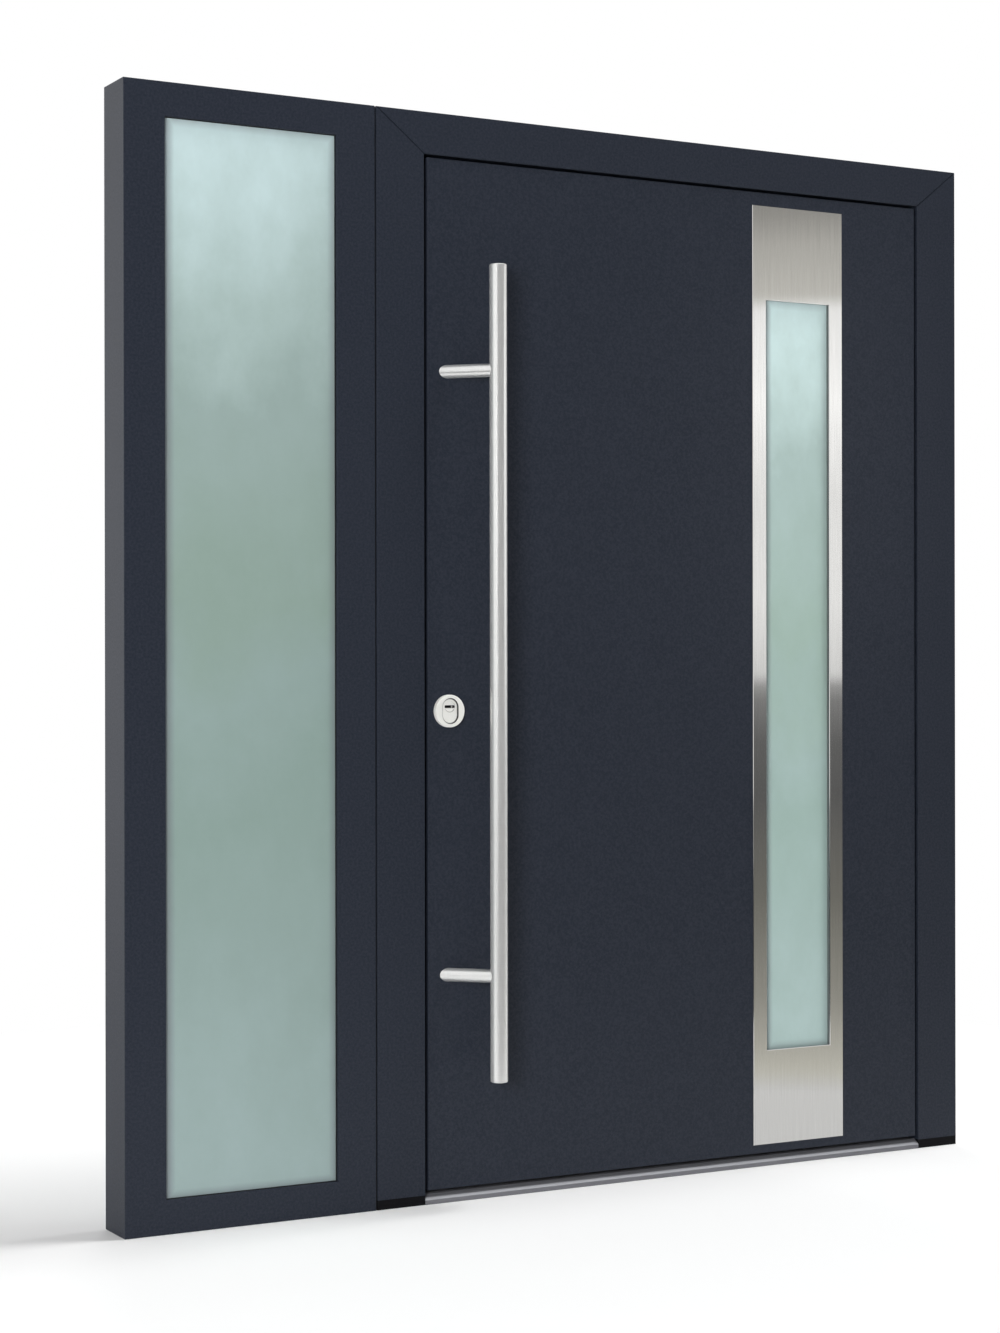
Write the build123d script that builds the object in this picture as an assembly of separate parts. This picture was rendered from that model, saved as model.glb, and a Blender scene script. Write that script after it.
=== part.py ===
from build123d import *
import os
from math import atan2, degrees, radians, tan

# An entrance door set: a rebated leaf with a long pull bar and a glazed strip,
# in a mitred frame on a low threshold, beside a frosted sidelight.
# Millimetres. +Z is up and the outside faces -Y. The origin lies on the underside
# of the threshold, at the middle of the set's width and of the frame's depth.

# Whole set
set_height = 2100.0
frame_depth = 100.0
sidelight_width = 505.0
door_width = 1392.0
coupling_gap = 3.0
coupling_recess = 4.0

# Door frame
jamb_face = 102.0
head_face = 81.0
lip_depth = 40.0
rebate_width = 24.0
edge_radius = 1.5
mitre_seam = 0.3
mitre_groove_width = 2.0
mitre_groove_depth = 1.5
fixing_hole_radius = 5.25
fixing_hole_depth = 50.0
fixing_setback = 70.0
fixing_end_distance = 230.0
fixing_count = 4

# Threshold and feet
threshold_height = 18.5
nose_height = 9.0
nose_run = 14.0
nose_rounding = 2.0
tread_groove_width = 2.0
tread_groove_depth = 1.2
tread_groove_pitch = 6.0
tread_groove_count = 5
foot_inset = 1.0

# Sidelight
sidelight_stile_face = 80.0
sidelight_rail_face = 63.0
glazing_lip = 6.0
glazing_rebate = 18.0
pane_thickness = 6.0
pane_gap = 24.0
pane_clearance = 4.0
spacer_width = 12.0
glazing_gasket = 2.0
gasket_show = 1.5
bead_clearance = 0.3
bead_bevel = 8.0

# Leaf
lock_gap = 8.0
hinge_gap = 5.5
head_gap = 5.5
floor_gap = 8.0
leaf_recess = 3.0
step_gap = 8.0
sheet_thickness = 3.0
sheet_edge = 1.0
stile_width = 90.0
bottom_rail_height = 120.0
seal_clearance = 0.3
frame_seal_width = 10.0
frame_seal_inset = 5.0
frame_seal_bevel = 2.5
bottom_seal_depth = 20.0
bottom_seal_clearance = 0.5
bottom_seal_carrier = 2.5
seal_lip_root = 4.0
seal_lip_tip = 1.5

# Glazed strip in the leaf
plate_thickness = 1.5
plate_width = 227.5
plate_from_hinge_edge = 192.0
plate_top_margin = 27.0
plate_bottom_margin = 17.0
plate_edge_chamfer = 1.0
strip_side_border = 34.0
strip_end_border = 195.0
strip_glass_recess = 6.0
strip_glass_bite = 15.0
strip_glass_clearance = 2.0
strip_reveal = 1.0
inner_trim_thickness = 2.0
inner_trim_width = 24.0
inner_trim_bevel = 1.2

# Pull bar
backset = 68.0
bar_radius = 17.0
bar_length = 1570.0
bar_height = 1021.0
bar_projection = 72.0
bar_end_chamfer = 1.5
standoff_radius = 13.0
standoff_spacing = 1164.0
standoff_angle = 45.0

# Lock
rosette_radius = 31.5
rosette_thickness = 10.0
rosette_bevel = 1.5
rosette_height = 948.0
guard_width = 33.5
guard_height = 48.0
guard_recess = 3.0
guard_clearance = 1.0
plug_rise = 8.5
plug_radius = 11.0
plug_recess = 1.0
plug_clearance = 0.05
plug_end_clearance = 0.2
plug_shaft_radius = 7.0
plug_shaft_length = 28.0
key_slot_length = 18.0
key_slot_width = 3.6
key_slot_depth = 7.0
cylinder_tail_width = 10.0
cylinder_tail_drop = 31.0
cylinder_clearance = 0.4
cylinder_proud = 2.0
inside_rosette_radius = 27.0
inside_rosette_thickness = 8.0
lever_rise = 92.0
lever_radius = 9.5
lever_projection = 58.0
lever_length = 132.0
lever_end_chamfer = 1.5
faceplate_width = 20.0
faceplate_length = 1400.0
faceplate_thickness = 3.0
faceplate_depth = 22.5
strike_length = 180.0
strike_width = 24.0
strike_thickness = 3.0
strike_spacing = 560.0
strike_slot_length = 60.0
strike_slot_width = 13.0
strike_slot_depth = 18.0
bolt_clearance = 2.0
bolt_setback = 1.0

# Hinges
hinge_count = 3
hinge_end_distance = 240.0
hinge_length = 120.0
knuckle_radius = 9.5
knuckle_face_gap = 2.0
knuckle_length = 36.0
knuckle_axial_gap = 0.4
knuckle_sweep_gap = 1.5
hinge_leg_length = 54.0
hinge_leg_tip = 6.0
pin_radius = 4.0
pin_running_clearance = 0.05
pin_seat_clearance = 0.02
pin_cap_thickness = 3.0

# Planes and edges that follow from these sizes
set_width = sidelight_width + coupling_gap + door_width
set_left = -set_width / 2
set_right = set_width / 2
outside = -frame_depth / 2
inside = frame_depth / 2
sidelight_right = set_left + sidelight_width
door_left = sidelight_right + coupling_gap
lip_left = door_left + jamb_face
lip_right = set_right - jamb_face
lip_top = set_height - head_face
lip_back = outside + lip_depth

# The head is narrower than the jambs, so the mitres rise less steeply than 45 degrees.
# Steps along the head are narrower by the same share, and every corner lies on its mitre.
mitre_slope = head_face / jamb_face
rebate_left = lip_left - rebate_width
rebate_right = lip_right + rebate_width
rebate_top = lip_top + rebate_width * mitre_slope

leaf_outside = outside + leaf_recess
leaf_inside = inside - leaf_recess
leaf_step = lip_back + step_gap
leaf_bottom = threshold_height + floor_gap
outer_left = lip_left + lock_gap
outer_right = lip_right - hinge_gap
outer_top = lip_top - head_gap
inner_left = rebate_left + lock_gap
inner_right = rebate_right - hinge_gap
inner_top = rebate_top - head_gap
core_outside = leaf_outside + sheet_thickness
core_inside = leaf_inside - sheet_thickness
lock_stile_edge = inner_left + stile_width
hinge_stile_edge = inner_right - stile_width
top_rail_edge = inner_top - stile_width * mitre_slope
bottom_rail_edge = leaf_bottom + bottom_rail_height

lock_x = inner_left + backset
plug_z = rosette_height + plug_rise
lever_z = plug_z + lever_rise
bar_x = lock_x + bar_projection * tan(radians(standoff_angle))
bar_y = leaf_outside - bar_projection

hinge_x = (inner_right + rebate_right) / 2
hinge_y = inside + knuckle_face_gap + knuckle_radius

# Areas in the wall's plane are (left, right, bottom, top)
plate_right = outer_right - plate_from_hinge_edge
plate_left = plate_right - plate_width
plate_area = (plate_left, plate_right, leaf_bottom + plate_bottom_margin, outer_top - plate_top_margin)
strip_area = (
    plate_left + strip_side_border,
    plate_right - strip_side_border,
    plate_area[2] + strip_end_border,
    plate_area[3] - strip_end_border,
)
sidelight_area = (set_left, sidelight_right, 0, set_height)
daylight_area = (
    set_left + sidelight_stile_face,
    sidelight_right - sidelight_stile_face,
    sidelight_rail_face,
    set_height - sidelight_rail_face,
)
rail_rebate = glazing_rebate * sidelight_rail_face / sidelight_stile_face
seat_area = (
    daylight_area[0] - glazing_rebate,
    daylight_area[1] + glazing_rebate,
    daylight_area[2] - rail_rebate,
    daylight_area[3] + rail_rebate,
)

level_plane = Plane(origin=(0, 0, 0), x_dir=(0, 0, 1), z_dir=(-1, 0, 0))


def grown(area, by):
    """The same area with every edge moved outward."""
    left, right, bottom, top = area
    return (left - by, right + by, bottom - by, top + by)


def slab(area, front, back):
    """A plain slab that covers an area between two depths."""
    left, right, bottom, top = area
    box = Box(right - left, back - front, top - bottom, align=Align.MIN)
    return Pos(left, front, bottom) * box


def ring(rim, opening, front, back):
    """A flat rectangular ring between two depths."""
    return slab(rim, front, back) - slab(opening, front, back)


def disc(x, z, radius, front, back):
    """A round disc or rod that points through the wall."""
    return Pos(x, (front + back) / 2, z) * Rot(90, 0, 0) * Cylinder(radius, back - front)


def post(x, y, radius, bottom, top):
    """A round upright rod."""
    return Pos(x, y, (bottom + top) / 2) * Cylinder(radius, top - bottom)


def through_wall(sketch, front, back):
    """A sketch in the wall's plane, pushed through from one depth to another."""
    return Pos(0, front, 0) * extrude(Plane.XZ * sketch, back - front, dir=(0, 1, 0))


def profile(points, rounding=0.0):
    """A closed section of (across, depth) points; the two outside corners may be rounded."""
    face = make_face(Polyline(points, close=True))
    if rounding:
        face = fillet(face.vertices().sort_by(Axis.Y)[:2], rounding)
    return face


def upright(section, bottom, top):
    """A section run upwards; its points are (x, y)."""
    return Pos(0, 0, bottom) * extrude(section, top - bottom, dir=(0, 0, 1))


def level(section, left, right):
    """A section run sideways; its points are (z, y)."""
    return Pos(left, 0, 0) * extrude(level_plane * section, right - left, dir=(1, 0, 0))


def eased(plate, side, size):
    """A plate with the edges of its outside face (side 0) or inside face (side -1) chamfered."""
    return chamfer(plate.faces().sort_by(Axis.Y)[side].edges(), size)


def mitre(member, corner, inner, seam):
    """Cut a member's end along the line from an outer corner to an inner one, half a seam short of it."""
    start = Vector(corner[0], 0, corner[1])
    run = Vector(inner[0], 0, inner[1]) - start
    facing = Vector(-run.Z, 0, run.X).normalized()
    if facing.dot(member.center() - start) < 0:
        facing = -facing
    cut = Plane(origin=start + facing * (seam / 2), z_dir=facing)
    return split(member, bisect_by=cut, keep=Keep.TOP)


def mitred(stiles, rails, rim, opening, seam):
    """Left and right stiles and bottom and top rails, mitred between the corners of two areas."""
    for i in (0, 1):
        for j in (0, 1):
            corner = (rim[i], rim[2 + j])
            inner = (opening[i], opening[2 + j])
            stiles[i] = mitre(stiles[i], corner, inner, seam)
            rails[j] = mitre(rails[j], corner, inner, seam)
    return stiles + rails


def rebated(wall, lip, seat, lip_end):
    """An L section from the wall to the lip's edge, stepped back to the seat behind the lip."""
    return [
        (wall, outside),
        (lip, outside),
        (lip, lip_end),
        (seat, lip_end),
        (seat, inside),
        (wall, inside),
    ]


def mitre_groove(x, z, turn):
    """The fine shadow groove along a frame corner's mitre, seen from outside."""
    length = (jamb_face**2 + head_face**2) ** 0.5
    strip = Box(mitre_groove_width, 2 * mitre_groove_depth, length)
    return Pos(x, outside, z) * Rot(0, turn, 0) * strip


def fixing_heights():
    """Heights of the wall fixings along the hinge jamb."""
    step = (set_height - 2 * fixing_end_distance) / (fixing_count - 1)
    return [fixing_end_distance + step * i for i in range(fixing_count)]


def strike_heights():
    """Heights of the three strike plates, about the lock's own height."""
    return [plug_z + strike_spacing * i for i in (-1, 0, 1)]


def hinge_heights():
    """Heights of the hinges' middles."""
    low = leaf_bottom + hinge_end_distance
    high = inner_top - hinge_end_distance
    return [low + (high - low) * i / (hinge_count - 1) for i in range(hinge_count)]


def sidelight_frame():
    """Two stiles and two rails, welded flush at the four corners."""
    left, right, bottom, top = sidelight_area
    sections = [
        profile(rebated(wall, lip, seat, outside + glazing_lip), edge_radius)
        for wall, lip, seat in zip(sidelight_area, daylight_area, seat_area)
    ]
    stiles = [upright(section, bottom, top) for section in sections[:2]]
    rails = [level(section, left, right) for section in sections[2:]]
    names = ("left_stile", "right_stile", "bottom_rail", "top_rail")
    members = mitred(stiles, rails, sidelight_area, daylight_area, 0)
    return {f"sidelight_{name}": member for name, member in zip(names, members)}


def bead(wall, edge, front):
    """Section of a glazing bead from its seat to its edge, bevelled towards the room."""
    bevel_run = (edge - wall) * bead_bevel / glazing_rebate
    return profile(
        [
            (wall, front),
            (edge, front),
            (edge, inside - bead_bevel),
            (edge - bevel_run, inside),
            (wall, inside),
        ]
    )


def sidelight_glazing():
    """The insulating glass, its gaskets and the four beads that hold it from inside."""
    pane = grown(seat_area, -pane_clearance)
    outer_front = outside + glazing_lip + glazing_gasket
    outer_back = outer_front + pane_thickness
    inner_front = outer_back + pane_gap
    inner_back = inner_front + pane_thickness
    bead_front = inner_back + glazing_gasket
    gasket_opening = grown(daylight_area, -gasket_show)
    outer_gasket = ring(pane, gasket_opening, outside + glazing_lip, outer_front)
    inner_gasket = ring(pane, gasket_opening, inner_back, bead_front)
    bead_rim = grown(seat_area, -bead_clearance)
    left, right, bottom, top = bead_rim
    sections = [bead(wall, edge, bead_front) for wall, edge in zip(bead_rim, daylight_area)]
    stile_beads = [upright(section, bottom, top) for section in sections[:2]]
    rail_beads = [level(section, left, right) for section in sections[2:]]
    beads = mitred(stile_beads, rail_beads, bead_rim, daylight_area, mitre_seam)
    return {
        "sidelight_outer_pane": slab(pane, outer_front, outer_back),
        "sidelight_inner_pane": slab(pane, inner_front, inner_back),
        "sidelight_glass_spacer": ring(pane, grown(pane, -spacer_width), outer_back, inner_front),
        "sidelight_gaskets": Compound(children=[outer_gasket, inner_gasket]),
        "sidelight_glazing_beads": Compound(children=beads),
    }


def door_frame():
    """Two jambs and a head with a rebate all round, mitred at the top."""
    latch_section = rebated(door_left, lip_left, rebate_left, lip_back)
    hinge_section = rebated(set_right, lip_right, rebate_right, lip_back)
    head_section = rebated(set_height, lip_top, rebate_top, lip_back)
    latch = upright(profile(latch_section, edge_radius), threshold_height, set_height)
    hinge = upright(profile(hinge_section, edge_radius), threshold_height, set_height)
    head = level(profile(head_section, edge_radius), door_left, set_right)
    latch_corner = ((door_left, set_height), (lip_left, lip_top))
    hinge_corner = ((set_right, set_height), (lip_right, lip_top))
    latch = mitre(latch, *latch_corner, mitre_seam)
    hinge = mitre(hinge, *hinge_corner, mitre_seam)
    head = mitre(mitre(head, *latch_corner, mitre_seam), *hinge_corner, mitre_seam)
    middle = set_height - head_face / 2
    turn = degrees(atan2(jamb_face, head_face))
    left_groove = mitre_groove(door_left + jamb_face / 2, middle, -turn)
    right_groove = mitre_groove(set_right - jamb_face / 2, middle, turn)
    latch = latch - left_groove
    hinge = hinge - right_groove
    head = head - left_groove - right_groove
    for height in strike_heights():
        latch = latch - strike_seat(height) - strike_well(height)
    for height in fixing_heights():
        hole = Cylinder(fixing_hole_radius, 2 * fixing_hole_depth)
        hinge = hinge - Pos(set_right, outside + fixing_setback, height) * Rot(0, 90, 0) * hole
    return {"latch_jamb": latch, "hinge_jamb": hinge, "frame_head": head}


def lock_block(height, length, width, left, right):
    """An upright block on the lock's line, from one place across the set to another."""
    middle = leaf_inside - faceplate_depth
    area = (left, right, height - length / 2, height + length / 2)
    return slab(area, middle - width / 2, middle + width / 2)


def strike_seat(height):
    """One strike plate's outline, flush with the rebate wall."""
    return lock_block(height, strike_length, strike_width, rebate_left - strike_thickness, rebate_left)


def strike_well(height):
    """The room for a bolt in the jamb."""
    return lock_block(
        height, strike_slot_length, strike_slot_width, rebate_left - strike_slot_depth, rebate_left
    )


def strike_plates():
    """Three plates, flush with the rebate wall, each with a slot for a bolt."""
    plates = [strike_seat(height) - strike_well(height) for height in strike_heights()]
    return Compound(children=plates)


def threshold():
    """A low sill with an upright front, a rounded nose, a slope and a grooved tread."""
    slope_end = outside + nose_run
    section = profile(
        [
            (0, outside),
            (nose_height, outside),
            (threshold_height, slope_end),
            (threshold_height, inside),
            (0, inside),
        ]
    )
    nose = section.vertices().sort_by(Axis.Y)[:3].sort_by(Axis.X)[-2:]
    sill = level(fillet(nose, nose_rounding), lip_left, lip_right)
    groove_area = (lip_left, lip_right, threshold_height - tread_groove_depth, threshold_height)
    for i in range(tread_groove_count):
        middle = slope_end + tread_groove_pitch * (i + 1)
        sill = sill - slab(groove_area, middle - tread_groove_width / 2, middle + tread_groove_width / 2)
    return sill


def frame_seal():
    """The soft seal behind the lip, along both jambs and the head, just clear of the leaf."""
    left = lip_left - frame_seal_inset
    right = lip_right + frame_seal_inset
    top = lip_top + frame_seal_inset
    opening = (left, right, threshold_height, top)
    rim = (left - frame_seal_width, right + frame_seal_width, threshold_height, top + frame_seal_width)
    return eased(ring(rim, opening, lip_back, leaf_step - seal_clearance), -1, frame_seal_bevel)


def leaf_frame():
    """Stiles and rails of the leaf, stepped like the frame's rebate."""
    lock_section = [
        (outer_left, core_outside),
        (lock_stile_edge, core_outside),
        (lock_stile_edge, core_inside),
        (inner_left, core_inside),
        (inner_left, leaf_step),
        (outer_left, leaf_step),
    ]
    hinge_section = [
        (outer_right, core_outside),
        (hinge_stile_edge, core_outside),
        (hinge_stile_edge, core_inside),
        (inner_right, core_inside),
        (inner_right, leaf_step),
        (outer_right, leaf_step),
    ]
    top_section = [
        (outer_top, core_outside),
        (top_rail_edge, core_outside),
        (top_rail_edge, core_inside),
        (inner_top, core_inside),
        (inner_top, leaf_step),
        (outer_top, leaf_step),
    ]
    lock_corner = ((inner_left, inner_top), (outer_left, outer_top))
    hinge_corner = ((inner_right, inner_top), (outer_right, outer_top))
    lock_stile = mitre(upright(profile(lock_section), leaf_bottom, inner_top), *lock_corner, mitre_seam)
    hinge_stile = mitre(upright(profile(hinge_section), leaf_bottom, inner_top), *hinge_corner, mitre_seam)
    top_rail = level(profile(top_section), inner_left, inner_right)
    top_rail = mitre(mitre(top_rail, *lock_corner, mitre_seam), *hinge_corner, mitre_seam)
    rail_area = (lock_stile_edge, hinge_stile_edge, leaf_bottom, bottom_rail_edge)
    lock_stile = lock_stile - cylinder_bore(core_outside, core_inside) - faceplate_body()
    return {
        "leaf_lock_stile": lock_stile,
        "leaf_hinge_stile": hinge_stile,
        "leaf_top_rail": top_rail,
        "leaf_bottom_rail": slab(rail_area, core_outside, core_inside),
    }


def leaf_panel():
    """Two sheets on an insulating core, with the glazed strip let through."""
    outer_area = (outer_left, outer_right, leaf_bottom, outer_top)
    inner_area = (inner_left, inner_right, leaf_bottom, inner_top)
    core_area = (lock_stile_edge, hinge_stile_edge, bottom_rail_edge, top_rail_edge)
    pane = grown(strip_area, strip_glass_bite)
    well = grown(pane, strip_glass_clearance)
    sheet_opening = grown(strip_area, strip_reveal)
    outer_front = core_outside + strip_glass_recess
    outer_back = outer_front + pane_thickness
    inner_front = outer_back + pane_gap
    inner_back = inner_front + pane_thickness
    plate = ring(plate_area, strip_area, leaf_outside - plate_thickness, leaf_outside)
    outer_sheet = eased(slab(outer_area, leaf_outside, core_outside), 0, sheet_edge)
    outer_sheet = outer_sheet - slab(sheet_opening, leaf_outside, core_outside)
    inner_sheet = eased(slab(inner_area, core_inside, leaf_inside), -1, sheet_edge)
    inner_sheet = inner_sheet - slab(sheet_opening, core_inside, leaf_inside)
    trim_rim = grown(strip_area, inner_trim_width)
    trim = ring(trim_rim, strip_area, leaf_inside, leaf_inside + inner_trim_thickness)
    return {
        "leaf_outer_sheet": outer_sheet - cylinder_bore(leaf_outside, core_outside),
        "leaf_inner_sheet": inner_sheet - cylinder_bore(core_inside, leaf_inside),
        "leaf_core": ring(core_area, well, core_outside, core_inside),
        "inlay_plate": eased(plate, 0, plate_edge_chamfer),
        "leaf_glazing_gasket": ring(pane, sheet_opening, core_outside, outer_front),
        "leaf_outer_pane": slab(pane, outer_front, outer_back),
        "leaf_glass_spacer": ring(pane, grown(pane, -spacer_width), outer_back, inner_front),
        "leaf_inner_pane": slab(pane, inner_front, inner_back),
        "leaf_glazing_liner": ring(well, sheet_opening, inner_back, core_inside),
        "inner_glazing_trim": eased(trim, -1, inner_trim_bevel),
    }


def bottom_seal():
    """The seal under the leaf: a carrier with two soft lips, just clear of the threshold."""
    tip = threshold_height + bottom_seal_clearance
    carrier = leaf_bottom - bottom_seal_carrier
    half = bottom_seal_depth / 2
    section = [
        (leaf_bottom, -half),
        (leaf_bottom, half),
        (tip, half),
        (tip, half - seal_lip_tip),
        (carrier, half - seal_lip_root),
        (carrier, seal_lip_root - half),
        (tip, seal_lip_tip - half),
        (tip, -half),
    ]
    return level(profile(section), outer_left, outer_right)


def bar_rod():
    """The pull bar's plain round rod."""
    return post(bar_x, bar_y, bar_radius, bar_height - bar_length / 2, bar_height + bar_length / 2)


def pull_bar():
    """The upright grip with eased ends."""
    return chamfer(bar_rod().edges().filter_by(GeomType.CIRCLE), bar_end_chamfer)


def pull_bar_standoffs():
    """Two slanted arms, cut flush on the leaf and coped round the bar."""
    leaf_face = Plane(origin=(0, leaf_outside, 0), z_dir=(0, -1, 0))
    reach = Vector(bar_x - lock_x, bar_y - leaf_outside, 0)
    heading = reach.normalized()
    root = heading * (2 * standoff_radius)
    rod = Cylinder(
        standoff_radius, (reach + root).length, align=(Align.CENTER, Align.CENTER, Align.MIN)
    )
    arms = []
    for side in (-1, 1):
        foot_point = Vector(lock_x, leaf_outside, bar_height + side * standoff_spacing / 2)
        arm = Plane(origin=foot_point - root, z_dir=heading) * rod
        arms.append(split(arm, bisect_by=leaf_face, keep=Keep.TOP) - bar_rod())
    return Compound(children=arms)


def cylinder_sketch(clearance):
    """The lock cylinder's round head with its narrow tail below."""
    head = Pos(lock_x, plug_z) * Circle(plug_radius + clearance)
    drop = cylinder_tail_drop + clearance
    tail = Pos(lock_x, plug_z - drop / 2) * Rectangle(cylinder_tail_width + 2 * clearance, drop)
    return head + tail


def cylinder_bore(front, back):
    """The lock cylinder's passage through the leaf."""
    return through_wall(cylinder_sketch(cylinder_clearance), front, back)


def plug_slot(front, back):
    """A level key slot."""
    return through_wall(Pos(lock_x, plug_z) * SlotOverall(key_slot_length, key_slot_width), front, back)


def outside_lock():
    """Rosette, oval guard, lock cylinder and the plug that a key turns."""
    rosette_front = leaf_outside - rosette_thickness
    guard_front = rosette_front + guard_recess
    plug_front = guard_front + plug_recess
    plug_back = leaf_outside - plug_end_clearance
    oval = Pos(lock_x, rosette_height) * SlotOverall(guard_height, guard_width, rotation=90)
    oval_hole = Pos(lock_x, rosette_height) * SlotOverall(
        guard_height + 2 * guard_clearance, guard_width + 2 * guard_clearance, rotation=90
    )
    rosette = disc(lock_x, rosette_height, rosette_radius, rosette_front, leaf_outside)
    rosette = eased(rosette, 0, rosette_bevel) - through_wall(oval_hole, rosette_front, leaf_outside)
    guard = through_wall(oval, guard_front, leaf_outside)
    guard = guard - disc(lock_x, plug_z, plug_radius + plug_clearance, guard_front, leaf_outside)
    plug = disc(lock_x, plug_z, plug_radius, plug_front, plug_back)
    plug = plug + disc(lock_x, plug_z, plug_shaft_radius, plug_back, leaf_outside + plug_shaft_length)
    plug = plug - plug_slot(plug_front, plug_front + key_slot_depth)
    inside_end = leaf_inside + inside_rosette_thickness + cylinder_proud
    body = through_wall(cylinder_sketch(0), leaf_outside, inside_end)
    shaft_bore = plug_shaft_radius + plug_clearance
    bore_end = leaf_outside + plug_shaft_length + plug_end_clearance
    body = body - disc(lock_x, plug_z, shaft_bore, leaf_outside, bore_end)
    body = body - plug_slot(inside_end - key_slot_depth, inside_end)
    return {
        "outside_rosette": rosette,
        "cylinder_guard": guard,
        "lock_cylinder": body,
        "key_plug": plug,
    }


def lever():
    """The inside lever: a round neck and a round grip, mitred where they meet."""
    grip_y = leaf_inside + lever_projection
    grip_end = lock_x + lever_length
    neck = disc(lock_x, lever_z, lever_radius, leaf_inside + inside_rosette_thickness, grip_y + lever_radius)
    length = lever_length + lever_radius
    grip = Pos(grip_end - length / 2, grip_y, lever_z) * Rot(0, 90, 0) * Cylinder(lever_radius, length)
    grip = chamfer(grip.edges().filter_by(GeomType.CIRCLE).sort_by(Axis.X)[-1], lever_end_chamfer)
    cut = Plane(origin=(lock_x, grip_y, lever_z), z_dir=(1, 1, 0))
    return split(neck, bisect_by=cut, keep=Keep.BOTTOM) + split(grip, bisect_by=cut, keep=Keep.TOP)


def inside_furniture():
    """Lever handle on its rosette, and the rosette round the lock cylinder."""
    front = leaf_inside
    back = leaf_inside + inside_rosette_thickness
    rosettes = [
        eased(disc(lock_x, height, inside_rosette_radius, front, back), -1, rosette_bevel)
        for height in (lever_z, plug_z)
    ]
    rosettes[1] = rosettes[1] - cylinder_bore(front, back)
    return {"inside_lever": lever(), "inside_rosettes": Compound(children=rosettes)}


def faceplate_body():
    """The lock's long, round-ended faceplate, flush with the leaf's lock edge."""
    middle = leaf_inside - faceplate_depth
    sketch = Pos(middle, plug_z) * SlotOverall(faceplate_length, faceplate_width, rotation=90)
    return Pos(inner_left, 0, 0) * extrude(Plane.YZ * sketch, faceplate_thickness, dir=(1, 0, 0))


def faceplate():
    """The faceplate with the ends of its three bolts, which are drawn back a little."""
    plate = faceplate_body()
    bolt_length = strike_slot_length - 2 * bolt_clearance
    bolt_width = strike_slot_width - 2 * bolt_clearance
    for height in strike_heights():
        plate = plate - lock_block(height, bolt_length, bolt_width, inner_left, inner_left + bolt_setback)
    return plate


def hinge_leg(side, face_y, edge):
    """Section of a hinge half: a knuckle with a wedge-shaped leg on one side."""
    tip = hinge_x + side * hinge_leg_length
    points = [
        (hinge_x + side * knuckle_radius, hinge_y),
        (tip, face_y + hinge_leg_tip),
        (tip, face_y),
        (edge, face_y),
        (hinge_x, hinge_y - knuckle_radius / 2),
    ]
    leg = make_face(Polyline(points, close=True))
    return leg + Pos(hinge_x, hinge_y) * Circle(knuckle_radius)


def hinges():
    """Three-knuckle hinges: the frame halves carry the outer knuckles, the leaf halves the middle ones."""
    frame_halves = []
    leaf_halves = []
    pins = []
    sweep_radius = knuckle_radius + knuckle_sweep_gap
    for middle in hinge_heights():
        bottom = middle - hinge_length / 2
        top = middle + hinge_length / 2
        low_end = bottom + knuckle_length
        high_start = top - knuckle_length
        frame_half = upright(hinge_leg(1, inside, rebate_right + edge_radius), bottom, top)
        frame_half = frame_half - post(hinge_x, hinge_y, sweep_radius, low_end, high_start)
        frame_half = frame_half - post(hinge_x, hinge_y, pin_radius + pin_seat_clearance, bottom, top)
        leaf_half = upright(hinge_leg(-1, leaf_inside, inner_right - edge_radius), bottom, top)
        leaf_low = low_end + knuckle_axial_gap
        leaf_high = high_start - knuckle_axial_gap
        for start, end in ((bottom, leaf_low), (leaf_high, top)):
            leaf_half = leaf_half - post(hinge_x, hinge_y, sweep_radius, start, end)
        leaf_half = leaf_half - post(hinge_x, hinge_y, pin_radius + pin_running_clearance, bottom, top)
        pin = post(hinge_x, hinge_y, pin_radius, bottom, top)
        pin = pin + post(hinge_x, hinge_y, knuckle_radius, bottom - pin_cap_thickness, bottom)
        pin = pin + post(hinge_x, hinge_y, knuckle_radius, top, top + pin_cap_thickness)
        frame_halves.append(frame_half)
        leaf_halves.append(leaf_half)
        pins.append(pin)
    return {
        "frame_hinge_halves": Compound(children=frame_halves),
        "leaf_hinge_halves": Compound(children=leaf_halves),
        "hinge_pins": Compound(children=pins),
    }


def foot(left, right):
    """A block under a jamb, at the threshold's end."""
    return slab((left, right, 0, threshold_height), outside + foot_inset, inside - foot_inset)


coupling_area = (sidelight_right, door_left, 0, set_height - coupling_recess)

nodes = {
    **sidelight_frame(),
    **sidelight_glazing(),
    "coupling_seal": slab(coupling_area, outside + coupling_recess, inside - coupling_recess),
    **door_frame(),
    "threshold": threshold(),
    "latch_side_foot": foot(door_left, lip_left),
    "hinge_side_foot": foot(lip_right, set_right),
    "frame_seal": frame_seal(),
    "strike_plates": strike_plates(),
    **leaf_frame(),
    **leaf_panel(),
    "leaf_bottom_seal": bottom_seal(),
    "pull_bar": pull_bar(),
    "pull_bar_standoffs": pull_bar_standoffs(),
    **outside_lock(),
    **inside_furniture(),
    "lock_faceplate": faceplate(),
    **hinges(),
}

os.makedirs("parts", exist_ok=True)
for name, shape in nodes.items():
    export_step(shape, f"parts/{name}.step")
print(len(nodes), "nodes written")
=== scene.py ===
# %% [markdown]
# # An entrance door set with a frosted sidelight
# The solids come ready made and in place: a leaf on hinges, its frame, the sidelight and the lock.
# This lesson gives each of them its finish, adds the small fasteners, and sets up a plain studio.

# %% Load the solids
import math

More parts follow.
